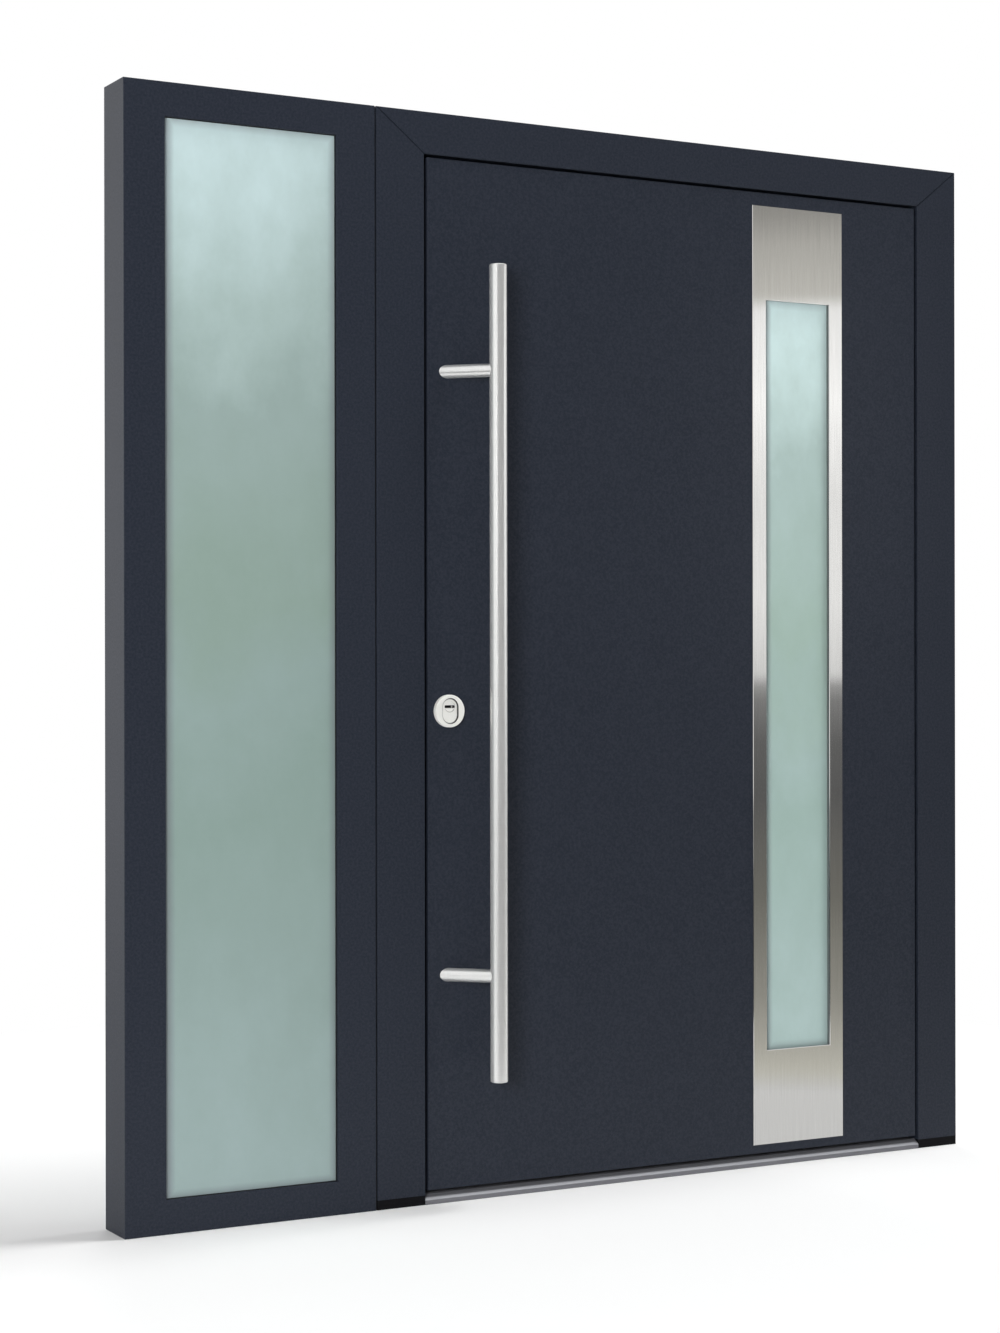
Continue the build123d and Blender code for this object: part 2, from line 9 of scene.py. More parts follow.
import bpy
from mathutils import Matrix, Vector


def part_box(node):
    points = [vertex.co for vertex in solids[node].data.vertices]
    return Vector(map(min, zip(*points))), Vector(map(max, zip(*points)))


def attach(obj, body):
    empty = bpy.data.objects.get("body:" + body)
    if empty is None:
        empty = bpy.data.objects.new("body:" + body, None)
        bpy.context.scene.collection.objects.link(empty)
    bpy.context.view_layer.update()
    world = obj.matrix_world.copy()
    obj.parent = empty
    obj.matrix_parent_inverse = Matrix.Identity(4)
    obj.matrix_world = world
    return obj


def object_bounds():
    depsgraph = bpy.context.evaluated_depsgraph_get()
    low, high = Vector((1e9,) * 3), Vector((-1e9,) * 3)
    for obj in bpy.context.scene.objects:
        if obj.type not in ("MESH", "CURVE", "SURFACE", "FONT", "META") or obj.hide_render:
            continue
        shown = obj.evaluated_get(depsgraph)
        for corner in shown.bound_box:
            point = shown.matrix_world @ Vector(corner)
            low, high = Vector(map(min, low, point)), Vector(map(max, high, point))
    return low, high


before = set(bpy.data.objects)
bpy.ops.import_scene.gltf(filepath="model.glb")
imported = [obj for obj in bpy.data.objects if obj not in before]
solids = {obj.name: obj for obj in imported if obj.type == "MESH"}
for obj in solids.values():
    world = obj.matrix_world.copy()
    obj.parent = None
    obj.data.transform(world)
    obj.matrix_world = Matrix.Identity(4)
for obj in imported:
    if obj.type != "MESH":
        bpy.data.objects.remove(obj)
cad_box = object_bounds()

scene = bpy.context.scene
scene.view_settings.view_transform = "Standard"
print("solids loaded:", len(solids))

# %% [markdown]
# ## The camera
# The photograph is a level view from the left, so the camera stands at about chest height and doesn't
# tilt. A long side of 36 mm on the sensor goes with the picture's height. The place, the turn and the
# lens are the ones that put the frame's corners where the photograph has them.

# %% Camera
PHOTO_HEIGHT_PX = 1333
FOCAL_PX = 2571.3
SENSOR_MM = 36.0
CAMERA_PLACE = (-2.6019, -4.4406, 1.0338)
CAMERA_TURN_DEG = 28.932
CAMERA_ROLL_DEG = 0.086

lens = bpy.data.cameras.new("view")
lens.sensor_width = SENSOR_MM
lens.lens = FOCAL_PX / PHOTO_HEIGHT_PX * SENSOR_MM
camera = bpy.data.objects.new("view", lens)
camera.location = CAMERA_PLACE
camera.rotation_euler = (math.pi / 2, math.radians(CAMERA_ROLL_DEG), -math.radians(CAMERA_TURN_DEG))
scene.collection.objects.link(camera)
scene.camera = camera
print("lens", round(lens.lens, 2), "mm")

# %% [markdown]
# ## Small helpers for shader trees
# A tree is easier to read when one line makes a node and wires its inputs. A value that is a socket is
# linked, and any other value is set on the input itself.


# %% Nodes and wires
def wire(tree, socket, value):
    """Link a socket to an input, or set a plain value on it."""
    if isinstance(value, bpy.types.NodeSocket):
        tree.links.new(value, socket)
    else:
        socket.default_value = value


def node(tree, kind, inputs=None, **settings):
    """Make a node, set its options and wire its inputs, which go by name or by number."""
    made = tree.nodes.new(kind)
    for name, value in settings.items():
        setattr(made, name, value)
    for name, value in (inputs or {}).items():
        wire(tree, made.inputs[name], value)
    return made


def finish_of(name, **plain):
    """A new material and its shader; plain values are set on the shader's own sockets."""
    material = bpy.data.materials.new(name)
    material.use_nodes = True
    shader = material.node_tree.nodes["Principled BSDF"]
    for socket, value in plain.items():
        shader.inputs[socket.replace("_", " ")].default_value = value
    return material, material.node_tree, shader


print("nodes, wires and materials ready")

# %% [markdown]
# Most finishes start from noise on the object's own coordinates, in metres, so that a grain keeps its real
# size and stays with its piece. Noise seldom leaves the range from 0.3 to 0.7, so that range is spread over
# whatever it drives: a mix of two tones, a roughness or a bump.

# %% Noise, tones and bumps
NOISE_RANGE = (0.3, 0.7)


def here(tree):
    """Object coordinates in metres."""
    return node(tree, "ShaderNodeTexCoord").outputs["Object"]


def noise(tree, vector, scale, detail=2.0, roughness=0.5):
    """A grey noise value."""
    inputs = {"Vector": vector, "Scale": scale, "Detail": detail, "Roughness": roughness}
    return node(tree, "ShaderNodeTexNoise", inputs).outputs[0]


def maths(tree, how, first, second):
    """One sum, product or comparison of two values."""
    return node(tree, "ShaderNodeMath", {0: first, 1: second}, operation=how).outputs[0]


def spread(tree, value, low, high, new_low, new_high):
    """Map one range of values to another, without going past its ends."""
    inputs = {"Value": value, 1: low, 2: high, 3: new_low, 4: new_high}
    return node(tree, "ShaderNodeMapRange", inputs).outputs[0]


def from_noise(tree, value, new_low, new_high):
    """Map the usual range of a noise value to another one."""
    return spread(tree, value, *NOISE_RANGE, new_low, new_high)


def blended(tree, factor, first, second):
    """A mix of two colours."""
    inputs = {0: factor, 6: first, 7: second}
    return node(tree, "ShaderNodeMix", inputs, data_type="RGBA").outputs[2]


def bump(tree, height, strength, distance):
    """A bumped normal."""
    inputs = {"Height": height, "Strength": strength, "Distance": distance}
    return node(tree, "ShaderNodeBump", inputs).outputs[0]


print("noise, tones and bumps ready")

# %% [markdown]
# ## Powder coat
# The frame and the leaf are aluminium with a fine, matt, blue-grey powder coat. Close up it is a skin of
# small soft grains with a few paler flakes in it. A fine noise gives the grain and the bump, a coarser one
# the mottle that still shows from a few steps away, and a sharp cut of the finest one gives the flakes. A
# broad noise keeps large faces alive.

# %% Powder coat
PAINT_DEEP = (0.0125, 0.0165, 0.0265, 1)
PAINT_PALE = (0.0225, 0.0270, 0.0395, 1)
FLAKE = (0.050, 0.060, 0.080, 1)
GRAIN_SCALE = 900.0
MOTTLE_SCALE = 220.0
FLAKE_SCALE = 1400.0
CLOUD_SCALE = 3.0
MOTTLE_SHARE = 0.7
MOTTLE_RANGE = (0.39, 0.61)
FLAKE_RANGE = (0.70, 0.78)


def powder_coat():
    """Matt paint with a grain, a mottle and a few flakes."""
    material, tree, shader = finish_of("powder_coat", Specular_IOR_Level=0.25)
    grain = noise(tree, here(tree), GRAIN_SCALE)
    clouds = noise(tree, here(tree), CLOUD_SCALE, detail=3.0)
    flakes = spread(tree, noise(tree, here(tree), FLAKE_SCALE, detail=0.0), *FLAKE_RANGE, 0.0, 1.0)
    mottle = maths(tree, "MULTIPLY", noise(tree, here(tree), MOTTLE_SCALE, detail=1.0), MOTTLE_SHARE)
    mixture = maths(tree, "ADD", maths(tree, "MULTIPLY", grain, 1.0 - MOTTLE_SHARE), mottle)
    tone = blended(tree, spread(tree, mixture, *MOTTLE_RANGE, 0.0, 1.0), PAINT_DEEP, PAINT_PALE)
    tone = blended(tree, from_noise(tree, clouds, 0.0, 0.2), tone, PAINT_PALE)
    wire(tree, shader.inputs["Base Color"], blended(tree, flakes, tone, FLAKE))
    wire(tree, shader.inputs["Roughness"], from_noise(tree, grain, 0.46, 0.60))
    wire(tree, shader.inputs["Normal"], bump(tree, grain, strength=0.25, distance=0.0004))
    return material


paint = powder_coat()
print("made", paint.name)

# %% [markdown]
# ## Brushed stainless steel
# The plate, the pull bar and the lever are ground, which leaves fine lines on them. Noise that is drawn out
# along the lines varies the colour, the roughness and the bump a little. Such a surface blurs what it
# mirrors across the lines and keeps it sharp along them. The shader calls that anisotropy, and it blurs
# along the tangent, so the tangent is set square to the lines. The plate is ground with a belt, so its lines
# run upright. The round bars turn while they are ground, so their lines run round them and the blur runs
# along the bar. They are also a little satin: not quite metallic, so that their rims stay grey in front of
# the dark leaf.

# %% Brushed steel
PLATE_TONES = ((0.735, 0.73, 0.715, 1), (0.675, 0.67, 0.655, 1))
ROD_TONES = ((0.85, 0.85, 0.84, 1), (0.81, 0.81, 0.80, 1))
LINE_PITCH = 1400.0
LINE_LENGTH = 9.0
LINE_RANGE = (0.35, 0.65)
SMUDGE_SCALE = 7.0
X_AXIS, Y_AXIS, Z_AXIS = range(3)


def stretched(tree, scale):
    """Object coordinates, stretched along the axes."""
    return node(tree, "ShaderNodeMapping", {"Vector": here(tree), "Scale": scale}).outputs[0]


def brushed_steel(name, tones, mirror, lines_along, blur_along, roughness, anisotropy, bite):
    """Steel with lines along some axes and its blur along another; bite is how deep the lines are."""
    material, tree, shader = finish_of(name, Metallic=mirror, Anisotropic=anisotropy)
    stretch = [LINE_LENGTH if axis in lines_along else LINE_PITCH for axis in range(3)]
    lines = noise(tree, stretched(tree, stretch), scale=1.0, detail=3.0, roughness=0.6)
    smudge = noise(tree, here(tree), SMUDGE_SCALE)
    tone = blended(tree, spread(tree, lines, *LINE_RANGE, 0.0, 1.0), *tones)
    wire(tree, shader.inputs["Base Color"], tone)
    fine = from_noise(tree, lines, roughness - 0.03 * bite, roughness + 0.04 * bite)
    broad = from_noise(tree, smudge, -0.01, 0.01)
    wire(tree, shader.inputs["Roughness"], maths(tree, "ADD", fine, broad))
    wire(tree, shader.inputs["Normal"], bump(tree, lines, strength=0.05 * bite, distance=0.0002))
    direction = [float(axis == blur_along) for axis in range(3)]
    spaces = {"vector_type": "VECTOR", "convert_from": "OBJECT", "convert_to": "WORLD"}
    tangent = node(tree, "ShaderNodeVectorTransform", {0: direction}, **spaces).outputs[0]
    wire(tree, shader.inputs["Tangent"], tangent)
    return material


plate_steel = brushed_steel(
    "plate_steel", PLATE_TONES, mirror=1.0, lines_along=(Z_AXIS,), blur_along=X_AXIS,
    roughness=0.10, anisotropy=0.95, bite=1.0,
)
upright_rod_steel = brushed_steel(
    "upright_rod_steel", ROD_TONES, mirror=0.6, lines_along=(X_AXIS, Y_AXIS), blur_along=Z_AXIS,
    roughness=0.25, anisotropy=0.2, bite=0.25,
)
level_rod_steel = brushed_steel(
    "level_rod_steel", ROD_TONES, mirror=0.75, lines_along=(Y_AXIS, Z_AXIS), blur_along=X_AXIS,
    roughness=0.30, anisotropy=0.6, bite=0.4,
)
print("made", plate_steel.name, upright_rod_steel.name, level_rod_steel.name)

# %% [markdown]
# ## Satin steel
# The lock's rosette and its pieces are blasted, not brushed: pale, soft and nearly white, with a fine
# tooth. A shader that is only a little metallic, with a high roughness, gives that pale look under soft
# light. The key slot and the narrow gaps round the oval guard lie deep in shade, so a piece may bring a
# mask of painted shade, which darkens the tone.

# %% Satin steel
SATIN = (0.93, 0.93, 0.89, 1)
SATIN_SPECK = (0.83, 0.83, 0.79, 1)
# The dark of the painted shade in the lock's slot, gaps and recess.
LOCK_SHADE_DARK = (0.006, 0.006, 0.006, 1)
TOOTH_SCALE = 1600.0


def satin_steel(name, painted_shade=None):
    """Blasted steel; an optional mask maker darkens it with painted shade."""
    material, tree, shader = finish_of(name, Metallic=0.2)
    tooth = noise(tree, here(tree), TOOTH_SCALE)
    tone = blended(tree, from_noise(tree, tooth, 0.0, 1.0), SATIN, SATIN_SPECK)
    # Painted shade darkens the tone where the mask says.
    if painted_shade is not None:
        tone = blended(tree, painted_shade(tree), tone, LOCK_SHADE_DARK)
    wire(tree, shader.inputs["Base Color"], tone)
    wire(tree, shader.inputs["Roughness"], from_noise(tree, tooth, 0.44, 0.56))
    wire(tree, shader.inputs["Normal"], bump(tree, tooth, strength=0.2, distance=0.0002))
    return material


lock_satin = satin_steel("lock_satin")
print("made", lock_satin.name)

# %% [markdown]
# A mask of painted shade has to know where on the lock a point lies. Two measures are enough: how far it is
# below the piece's outside face, and how far it is from the middle or from the slot, as seen from the front.
# Both come from the solids' own boxes, so they hold if the lock moves.

# %% Measures on a piece
# Depths below a face over which the painted shade comes in.
SHADE_DEPTHS = (0.0001, 0.0006)


def middle_of(name):
    """The middle of a solid's box."""
    return sum(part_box(name), Vector()) / 2


def half_size_of(name):
    """Half of a solid's box."""
    low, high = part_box(name)
    return (high - low) / 2


def along_axis(tree, axis):
    """One of the object coordinates, by its letter."""
    return node(tree, "ShaderNodeSeparateXYZ", {0: here(tree)}).outputs[axis]


def vectors(tree, how, first, second=(0, 0, 0)):
    """The outputs of one sum, difference or product of two vectors."""
    return node(tree, "ShaderNodeVectorMath", {0: first, 1: second}, operation=how).outputs


def depth_mask(tree, name):
    """Painted shade from just below a solid's outside face."""
    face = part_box(name)[0].y
    unshaded, shaded = [face + depth for depth in SHADE_DEPTHS]
    return spread(tree, along_axis(tree, "Y"), unshaded, shaded, 0.0, 1.0)


def reach_from(tree, middle, half_wide=0.0, half_high=0.0):
    """Distance from a point, or from a level or upright line, as seen from the front."""
    away = vectors(tree, "ABSOLUTE", vectors(tree, "SUBTRACT", here(tree), tuple(middle))[0])[0]
    past = vectors(tree, "MAXIMUM", vectors(tree, "SUBTRACT", away, (half_wide, 0, half_high))[0])[0]
    return vectors(tree, "LENGTH", vectors(tree, "MULTIPLY", past, (1, 0, 1))[0])["Value"]


print("the key plug's disc is", round(2000 * half_size_of("key_plug").x, 1), "mm across")

# %% [markdown]
# Shade is painted only in the rosette's recess near its middle, and its outer rim stays bright. The guard
# has a thin painted shadow line along its oval rim. The plug has soft painted shade round its slot and a
# painted shadow at the foot of its seam.

# %% Painted shade on the lock
RECESS_REACH = 0.027
RIM_LINE = 0.0020
RIM_SHADE = 0.9
SLOT_HALF = 0.0085
SLOT_EDGE = (0.0022, 0.0032)
SEAM_RING = (0.0092, 0.0104)
SEAM_SHADE = 0.45
# The painted shadow under the seam fades out between these drops below the plug's middle.
SEAM_SHADOW_DROPS = (0.006, 0.004)


def rosette_shade(tree):
    """Painted shade in the rosette's recess."""
    near = maths(tree, "LESS_THAN", reach_from(tree, middle_of("outside_rosette")), RECESS_REACH)
    return maths(tree, "MULTIPLY", depth_mask(tree, "outside_rosette"), near)


def guard_shade(tree):
    """Painted shade below the guard's face and a painted shadow line along its oval rim."""
    half = half_size_of("cylinder_guard")
    reach = reach_from(tree, middle_of("cylinder_guard"), half_high=half.z - half.x)
    rim = spread(tree, reach, half.x - RIM_LINE, half.x, 0.0, RIM_SHADE)
    return maths(tree, "MAXIMUM", depth_mask(tree, "cylinder_guard"), rim)


def plug_shade(tree):
    """Painted shade in and round the key slot and a painted shadow at the foot of the plug's seam."""
    middle = middle_of("key_plug")
    slot = spread(tree, reach_from(tree, middle, half_wide=SLOT_HALF), *SLOT_EDGE, 1.0, 0.0)
    seam = spread(tree, reach_from(tree, middle), *SEAM_RING, 0.0, SEAM_SHADE)
    shaded_below, unshaded = [middle.z - drop for drop in SEAM_SHADOW_DROPS]
    foot = spread(tree, along_axis(tree, "Z"), shaded_below, unshaded, 1.0, 0.0)
    shade = maths(tree, "MAXIMUM", slot, maths(tree, "MULTIPLY", seam, foot))
    return maths(tree, "MAXIMUM", depth_mask(tree, "key_plug"), shade)


plug_satin = satin_steel("plug_satin", plug_shade)
guard_satin = satin_steel("guard_satin", guard_shade)
rosette_satin = satin_steel("rosette_satin", rosette_shade)
print("made", plug_satin.name, guard_satin.name, rosette_satin.name)

# %% [markdown]
# ## Frosted glass
# The outer panes are etched, so they scatter light. Their colour is a soft tint with a painted reflection of
# sky and trees: pale and bluish towards the top, sage green lower down, with faint blurred shapes of trees.
# A ramp over the height gives the tint, and noise gives the shapes. Along the rim the tint is darkened by
# painted shade, partly the dark spacer and seals close behind the pane and partly the profiles' shadow,
# graded by the distance from the opening's edges. On the left, the profile in front covers a few
# millimetres of the pane, so the shade starts further in.

# %% Frosted glass
# The pane's tint with a painted reflection of sky and trees, from the bottom up.
TINTS_WITH_PAINTED_REFLECTION = (
    (0.00, (0.320, 0.412, 0.410)),
    (0.20, (0.261, 0.346, 0.330)),
    (0.38, (0.236, 0.322, 0.296)),
    (0.46, (0.256, 0.341, 0.324)),
    (0.55, (0.242, 0.327, 0.290)),
    (0.73, (0.280, 0.364, 0.348)),
    (0.83, (0.366, 0.468, 0.456)),
    (1.00, (0.520, 0.655, 0.665)),
)
TINT_BOTTOM = 0.06
TINT_TOP = 2.04
TINT_DRIFT = 0.06
FOLIAGE_STRETCH = (1, 1, 0.7)
FOLIAGE_SCALE = 4.5
PAINTED_FOLIAGE_TINT = (0.14, 0.21, 0.15, 1)
TWIG_STRETCH = (1, 1, 0.6)
TWIG_SCALE = 15.0
TWIG_RANGE = (0.35, 0.75)
TWIG_SHARE = 0.10
# Painted shade along the panes' rims, partly the spacer and seals behind the etched pane and partly shadow.
SPACER_AND_SHADE_TINT = (0.13, 0.125, 0.155, 1)
RIM_HIDDEN = 0.005
RIM_WIDTH = 0.016


def ramp(tree, value, stops):
    """A colour for each place along a value from 0 to 1; stops are (place, colour)."""
    made = node(tree, "ShaderNodeValToRGB", {"Fac": value})
    keys = made.color_ramp.elements
    while len(keys) < len(stops):
        keys.new(0.5)
    for key, (position, colour) in zip(keys, stops):
        key.position = position
        key.color = colour
    return made.outputs[0]


def times(tint, gain):
    """A tint made paler or darker, as a full colour."""
    return tuple(gain * part for part in tint) + (1,)


def spacer_and_shade_mask(tree, opening, shares):
    """The share of painted shade along the rims of an opening: left, right, bottom and top."""
    left, right, bottom, top = opening
    across = along_axis(tree, "X")
    height = along_axis(tree, "Z")
    insets = (
        maths(tree, "SUBTRACT", across, left + RIM_HIDDEN),
        maths(tree, "SUBTRACT", right, across),
        maths(tree, "SUBTRACT", height, bottom),
        maths(tree, "SUBTRACT", top, height),
    )
    mask = 0.0
    for inset, share in zip(insets, shares):
        mask = maths(tree, "MAXIMUM", spread(tree, inset, 0.0, RIM_WIDTH, share, 0.0), mask)
    return mask


def frosted_glass(name, opening, shares, gain, shift):
    """Etched glass for an opening, with a painted reflection and painted shade along its rims; gain makes it
    paler, and shift moves the tints down.
    """
    material, tree, shader = finish_of(name, Roughness=0.42, Specular_IOR_Level=0.35)
    # Painted reflection: blurred shapes of foliage and twigs.
    foliage = noise(tree, stretched(tree, FOLIAGE_STRETCH), FOLIAGE_SCALE, detail=5.0, roughness=0.62)
    drift = from_noise(tree, foliage, -TINT_DRIFT, TINT_DRIFT)
    level = spread(tree, along_axis(tree, "Z"), TINT_BOTTOM - shift, TINT_TOP - shift, 0.0, 1.0)
    tints = [(place, times(tint, gain)) for place, tint in TINTS_WITH_PAINTED_REFLECTION]
    tint = ramp(tree, maths(tree, "ADD", level, drift), tints)
    twigs = noise(tree, stretched(tree, TWIG_STRETCH), TWIG_SCALE, detail=6.0, roughness=0.65)
    tint = blended(tree, spread(tree, twigs, *TWIG_RANGE, 0.0, TWIG_SHARE), tint, PAINTED_FOLIAGE_TINT)
    tint = blended(tree, spacer_and_shade_mask(tree, opening, shares), tint, SPACER_AND_SHADE_TINT)
    wire(tree, shader.inputs["Base Color"], tint)
    return material


print("frosted glass ready, with", len(TINTS_WITH_PAINTED_REFLECTION), "tints")

# %% [markdown]
# The two panes differ. The sidelight's is set in dark profiles and gets painted shade on all four sides. The
# strip in the leaf is paler, and beside its right edge the seal already shows as a dark line, so it gets
# hardly any painted shade there. The plate covers the edges of that pane, so its opening is a little smaller
# than it is.

# %% Glass of the sidelight and the strip
# How much painted shade each pane gets along its left, right, bottom and top rims.
SIDELIGHT_SHADE_SHARES = (0.60, 0.45, 0.42, 0.40)
STRIP_SHADE_SHARES = (0.60, 0.10, 0.28, 0.28)
STRIP_GLASS_BITE = 0.015
STRIP_GAIN = 1.52
STRIP_SHIFT = 0.07

sidelight_opening = (
    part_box("sidelight_left_stile")[1].x,
    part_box("sidelight_right_stile")[0].x,
    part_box("sidelight_bottom_rail")[1].z,
    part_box("sidelight_top_rail")[0].z,
)
pane_low, pane_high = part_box("leaf_outer_pane")
strip_opening = (
    pane_low.x + STRIP_GLASS_BITE,
    pane_high.x - STRIP_GLASS_BITE,
    pane_low.z + STRIP_GLASS_BITE,
    pane_high.z - STRIP_GLASS_BITE,
)
sidelight_etched = frosted_glass(
    "sidelight_etched_glass", sidelight_opening, SIDELIGHT_SHADE_SHARES, gain=1.0, shift=0.0
)
strip_etched = frosted_glass("strip_etched_glass", strip_opening, STRIP_SHADE_SHARES, STRIP_GAIN, STRIP_SHIFT)
print("made", sidelight_etched.name, strip_etched.name)

# %% [markdown]
# ## Clear glass
# The inner panes are clear. A real sheet lets most light pass and mirrors a little, more at a slant, so
# a thin see-through shader is enough: its opacity follows the Fresnel term.

# %% Clear glass
CLEAR_TINT = (0.82, 0.88, 0.86, 1)
GLASS_IOR = 1.45
OPACITY_RANGE = (0.08, 0.95)


def clear_glass():
    """Thin glass that is more opaque at a slant."""
    material, tree, shader = finish_of("clear_pane", Roughness=0.03, Base_Color=CLEAR_TINT)
    slant = node(tree, "ShaderNodeFresnel", {"IOR": GLASS_IOR}).outputs[0]
    wire(tree, shader.inputs["Alpha"], spread(tree, slant, 0.0, 1.0, *OPACITY_RANGE))
    return material


clear = clear_glass()
print("made", clear.name)

# %% [markdown]
# ## Plain finishes
# Rubber seals, black feet, the spacer bars and the foam core have one character each:
# a tone, a grain that varies it, and a roughness. One function makes them all. The seal round the strip's
# glass is painted greyer than the rest of the rubber, as painted light it catches from the pale pane.

# %% Plain finishes
SEAL_TONES = ((0.010, 0.010, 0.011, 1), (0.016, 0.016, 0.017, 1))
# Paler rubber: painted light from the pale pane beside it.
STRIP_SEAL_LIT_TONES = ((0.115, 0.130, 0.128, 1), (0.150, 0.168, 0.165, 1))
FOOT_TONES = ((0.004, 0.004, 0.005, 1), (0.008, 0.008, 0.009, 1))
SPACER_TONES = ((0.32, 0.32, 0.33, 1), (0.38, 0.38, 0.39, 1))
FOAM_TONES = ((0.62, 0.56, 0.42, 1), (0.72, 0.66, 0.52, 1))
ROUGHNESS_SWING = 0.05


def plain_finish(name, tones, roughness, scale, metallic=0.0, gloss=0.25):
    """A two-tone grainy finish."""
    material, tree, shader = finish_of(name, Metallic=metallic, Specular_IOR_Level=gloss)
    grain = noise(tree, here(tree), scale, detail=3.0)
    wire(tree, shader.inputs["Base Color"], blended(tree, from_noise(tree, grain, 0.0, 1.0), *tones))
    smooth, rough = roughness - ROUGHNESS_SWING, roughness + ROUGHNESS_SWING
    wire(tree, shader.inputs["Roughness"], from_noise(tree, grain, smooth, rough))
    wire(tree, shader.inputs["Normal"], bump(tree, grain, strength=0.15, distance=0.0002))
    return material


rubber = plain_finish("seal_rubber", SEAL_TONES, roughness=0.6, scale=700.0)
strip_rubber_painted_light = plain_finish("strip_rubber_painted_light", STRIP_SEAL_LIT_TONES, roughness=0.6, scale=700.0)
foot_plastic = plain_finish("foot_plastic", FOOT_TONES, roughness=0.7, scale=500.0, gloss=0.1)
spacer_metal = plain_finish("spacer_metal", SPACER_TONES, roughness=0.5, scale=300.0, metallic=1.0)
foam = plain_finish("core_foam", FOAM_TONES, roughness=0.9, scale=250.0)
print("made", rubber.name, strip_rubber_painted_light.name, foot_plastic.name, spacer_metal.name, foam.name)

# %% [markdown]
# ## The sill
# The threshold is anodised aluminium, a dull mid grey. A thin band along its rounded nose, found by its
# height above the floor, is paler: a painted highlight where the nose catches the light.

# %% Sill
SILL_DULL = (0.170, 0.172, 0.190, 1)
SILL_PALE = (0.220, 0.222, 0.240, 1)
# A painted highlight along the rounded nose.
SILL_NOSE_HIGHLIGHT = (0.46, 0.47, 0.50, 1)
SILL_STRETCH = (12, 900, 900)
NOSE_FOOT = (0.0075, 0.0095)
NOSE_TOP = (0.0120, 0.0140)


def sill_finish():
    """Drawn aluminium with a painted highlight band along its nose."""
    material, tree, shader = finish_of("sill_metal", Metallic=0.35, Roughness=0.45, Specular_IOR_Level=0.25)
    grain = noise(tree, stretched(tree, SILL_STRETCH), scale=1.0, detail=3.0)
    tone = blended(tree, from_noise(tree, grain, 0.0, 1.0), SILL_DULL, SILL_PALE)
    height = along_axis(tree, "Z")
    above = spread(tree, height, *NOSE_FOOT, 0.0, 1.0)
    below = spread(tree, height, *NOSE_TOP, 1.0, 0.0)
    tone = blended(tree, maths(tree, "MULTIPLY", above, below), tone, SILL_NOSE_HIGHLIGHT)
    wire(tree, shader.inputs["Base Color"], tone)
    wire(tree, shader.inputs["Normal"], bump(tree, grain, strength=0.1, distance=0.0002))
    return material


sill_metal = sill_finish()
print("made", sill_metal.name)

# %% [markdown]
# ## Dressing the solids
# Each solid takes the finish of its real material. Everything that isn't named here is painted.

# %% Dress the solids
dressed = {
    sidelight_etched: ("sidelight_outer_pane",),
    strip_etched: ("leaf_outer_pane",),
    clear: ("sidelight_inner_pane", "leaf_inner_pane"),
    spacer_metal: ("sidelight_glass_spacer", "leaf_glass_spacer"),
    rubber: ("sidelight_gaskets", "coupling_seal", "frame_seal", "leaf_bottom_seal"),
    strip_rubber_painted_light: ("leaf_glazing_gasket",),
    foot_plastic: ("latch_side_foot", "hinge_side_foot"),
    sill_metal: ("threshold",),
    foam: ("leaf_core",),
    lock_satin: ("inside_rosettes", "lock_cylinder"),
    rosette_satin: ("outside_rosette",),
    guard_satin: ("cylinder_guard",),
    plug_satin: ("key_plug",),
    level_rod_steel: ("inside_lever", "pull_bar_standoffs"),
    upright_rod_steel: ("pull_bar", "hinge_pins"),
    plate_steel: ("inlay_plate", "lock_faceplate", "strike_plates"),
}
finish_by_node = {name: material for material, names in dressed.items() for name in names}
for name, solid in solids.items():
    solid.data.materials.clear()
    solid.data.materials.append(finish_by_node.get(name, paint))
print("dressed", len(solids), "solids")

# %% [markdown]
# ## Fasteners
# Small screws with a hexagon socket hold the hinge legs, the strike plates and the lock's faceplate. One
# screw repeats at many places, which is what Geometry Nodes are good at. The screw itself is a short cone
# with a six-sided hole cut into its top. Its sizes are inputs of the tree, so one place sets them all.

# %% One screw
SCREW_SIZES = {
    "Head Radius": 0.0042,
    "Rim Radius": 0.0036,
    "Head Height": 0.0016,
    "Socket Radius": 0.0020,
    "Socket Depth": 0.0011,
}
HEAD_SIDES = 24
SOCKET_SIDES = 6


def one_screw(tree, given):
    """A cone with a six-sided socket, in the sizes that the tree is given."""
    head_sizes = {"Radius Top": given["Rim Radius"], "Radius Bottom": given["Head Radius"]}
    head_sizes.update({"Vertices": HEAD_SIDES, "Depth": given["Head Height"]})
    head = node(tree, "GeometryNodeMeshCone", head_sizes).outputs["Mesh"]
    twice = maths(tree, "MULTIPLY", given["Socket Depth"], 2.0)
    cutter_sizes = {"Vertices": SOCKET_SIDES, "Radius": given["Socket Radius"], "Depth": twice}
    cutter = node(tree, "GeometryNodeMeshCylinder", cutter_sizes).outputs["Mesh"]
    lift = node(tree, "ShaderNodeCombineXYZ", {"Z": given["Head Height"]}).outputs[0]
    cutter = node(tree, "GeometryNodeTransform", {"Geometry": cutter, "Translation": lift}).outputs[0]
    cut = {"Mesh 1": head, "Mesh 2": cutter}
    options = {"operation": "DIFFERENCE", "solver": "EXACT"}
    return node(tree, "GeometryNodeMeshBoolean", cut, **options).outputs["Mesh"]


print("screw heads are", 2000 * SCREW_SIZES["Head Radius"], "mm across")

# %% [markdown]
# A mesh of bare points says where the screws go and which way they face. The tree puts a screw on each
# point, turns it to face the point's own way, and spins it at random, as a fitter leaves them.

# %% Screw tree
SCREW_SEED = 7


